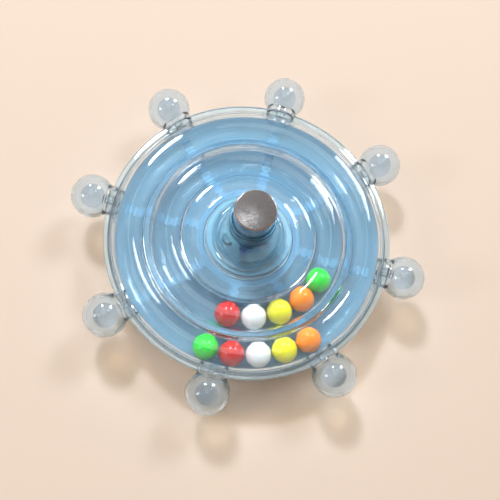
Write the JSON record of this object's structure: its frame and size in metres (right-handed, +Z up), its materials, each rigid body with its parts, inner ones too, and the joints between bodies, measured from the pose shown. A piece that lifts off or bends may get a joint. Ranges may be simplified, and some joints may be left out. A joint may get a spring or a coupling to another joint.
{
  "type": "light-up spinning top",
  "caption": "Clear domed-ring spinning top with ball-ended light bulbs round its rim, loose coloured balls in ring channels, a magnet post and a battery hub on a steel tip.",
  "frame": {"origin": "lowest point of the steel spinning tip, on the spin axis", "axes": "+Z up the spin axis through the magnet; -Y towards the middle of the two bulbs that the top leans on at rest, where the balls gather"},
  "size_m": [0.0852, 0.0852, 0.0318],
  "materials": {
    "clear_blue_cover": "clear pale blue polystyrene, polished mould",
    "clear_blue_base": "clear pale blue polystyrene, polished mould",
    "clear_blue_tray": "clear pale blue polystyrene, polished mould",
    "clear_light_guide": "clear moulded polystyrene with notched sides",
    "clear_post": "clear pale blue polystyrene",
    "nickel_plated_magnet": "nickel plate, lightly scuffed",
    "dark_steel_core": "oiled turned steel",
    "green_circuit_board": "solder resist over glass epoxy",
    "led_lens_red": "tinted epoxy lens",
    "led_lens_green": "tinted epoxy lens",
    "led_lens_blue": "tinted epoxy lens",
    "tinned_can": "tinned",
    "black_epoxy": "cast epoxy blob",
    "dark_holder_plastic": "moulded ABS",
    "spring_bronze": "bright rolled strip",
    "cell_steel": "plated steel can",
    "clear_door": "clear pale blue polystyrene",
    "zinc_plated_steel": "zinc plate",
    "polished_steel": "polished",
    "clear_bulb": "clear polystyrene with a faint blue tint",
    "clear_light_pin": "clear polystyrene",
    "green_ball": "glossy moulded ABS",
    "red_ball": "glossy moulded ABS",
    "white_ball": "glossy moulded ABS",
    "yellow_ball": "glossy moulded ABS",
    "orange_ball": "glossy moulded ABS"
  },
  "bodies": {
    "top_body": {"upper_shell": "clear_blue_cover", "lower_shell": "clear_blue_base", "channel_tray": "clear_blue_tray", "light_spider": "clear_light_guide", "post": "clear_post", "magnet": "nickel_plated_magnet", "core_pin": "dark_steel_core", "circuit_board": "green_circuit_board", "led_red": "led_lens_red", "led_green": "led_lens_green", "led_blue": "led_lens_blue", "spin_switch": "tinned_can", "timer_chip": "black_epoxy", "battery_holder": "dark_holder_plastic", "positive_contact": "spring_bronze", "negative_contact": "spring_bronze", "cell_upper": "cell_steel", "cell_lower": "cell_steel", "battery_door": "clear_door", "door_screws": "zinc_plated_steel", "spin_tip": "polished_steel", "bulb_1": "clear_bulb", "light_pin_1": "clear_light_pin", "bulb_2": "clear_bulb", "light_pin_2": "clear_light_pin", "bulb_3": "clear_bulb", "light_pin_3": "clear_light_pin", "bulb_4": "clear_bulb", "light_pin_4": "clear_light_pin", "bulb_5": "clear_bulb", "light_pin_5": "clear_light_pin", "bulb_6": "clear_bulb", "light_pin_6": "clear_light_pin", "bulb_7": "clear_bulb", "light_pin_7": "clear_light_pin", "bulb_8": "clear_bulb", "light_pin_8": "clear_light_pin"},
    "outer_green": {"outer_ball_green": "green_ball"},
    "outer_red": {"outer_ball_red": "red_ball"},
    "outer_white": {"outer_ball_white": "white_ball"},
    "outer_yellow": {"outer_ball_yellow": "yellow_ball"},
    "outer_orange": {"outer_ball_orange": "orange_ball"},
    "inner_red": {"inner_ball_red": "red_ball"},
    "inner_white": {"inner_ball_white": "white_ball"},
    "inner_yellow": {"inner_ball_yellow": "yellow_ball"},
    "inner_orange": {"inner_ball_orange": "orange_ball"},
    "inner_green": {"inner_ball_green": "green_ball"}
  },
  "joints": [
    {"name": "outer_green_roll_round", "type": "hinge", "parent": "top_body", "child": "outer_green", "pos_m": [0, 0, 0.012], "axis": [0, 0, 1], "continuous": true},
    {"name": "outer_red_roll_round", "type": "hinge", "parent": "top_body", "child": "outer_red", "pos_m": [0, 0, 0.012], "axis": [0, 0, 1], "continuous": true},
    {"name": "outer_white_roll_round", "type": "hinge", "parent": "top_body", "child": "outer_white", "pos_m": [0, 0, 0.012], "axis": [0, 0, 1], "continuous": true},
    {"name": "outer_yellow_roll_round", "type": "hinge", "parent": "top_body", "child": "outer_yellow", "pos_m": [0, 0, 0.012], "axis": [0, 0, 1], "continuous": true},
    {"name": "outer_orange_roll_round", "type": "hinge", "parent": "top_body", "child": "outer_orange", "pos_m": [0, 0, 0.012], "axis": [0, 0, 1], "continuous": true},
    {"name": "inner_red_roll_round", "type": "hinge", "parent": "top_body", "child": "inner_red", "pos_m": [0, 0, 0.012], "axis": [0, 0, 1], "continuous": true},
    {"name": "inner_white_roll_round", "type": "hinge", "parent": "top_body", "child": "inner_white", "pos_m": [0, 0, 0.012], "axis": [0, 0, 1], "continuous": true},
    {"name": "inner_yellow_roll_round", "type": "hinge", "parent": "top_body", "child": "inner_yellow", "pos_m": [0, 0, 0.012], "axis": [0, 0, 1], "continuous": true},
    {"name": "inner_orange_roll_round", "type": "hinge", "parent": "top_body", "child": "inner_orange", "pos_m": [0, 0, 0.012], "axis": [0, 0, 1], "continuous": true},
    {"name": "inner_green_roll_round", "type": "hinge", "parent": "top_body", "child": "inner_green", "pos_m": [0, 0, 0.012], "axis": [0, 0, 1], "continuous": true}
  ],
  "couplings": [
    {"joint": "outer_red_roll_round", "follows": "outer_green_roll_round", "ratio": 1},
    {"joint": "outer_white_roll_round", "follows": "outer_green_roll_round", "ratio": 1},
    {"joint": "outer_yellow_roll_round", "follows": "outer_green_roll_round", "ratio": 1},
    {"joint": "outer_orange_roll_round", "follows": "outer_green_roll_round", "ratio": 1},
    {"joint": "inner_white_roll_round", "follows": "inner_red_roll_round", "ratio": 1},
    {"joint": "inner_yellow_roll_round", "follows": "inner_red_roll_round", "ratio": 1},
    {"joint": "inner_orange_roll_round", "follows": "inner_red_roll_round", "ratio": 1},
    {"joint": "inner_green_roll_round", "follows": "inner_red_roll_round", "ratio": 1}
  ]
}
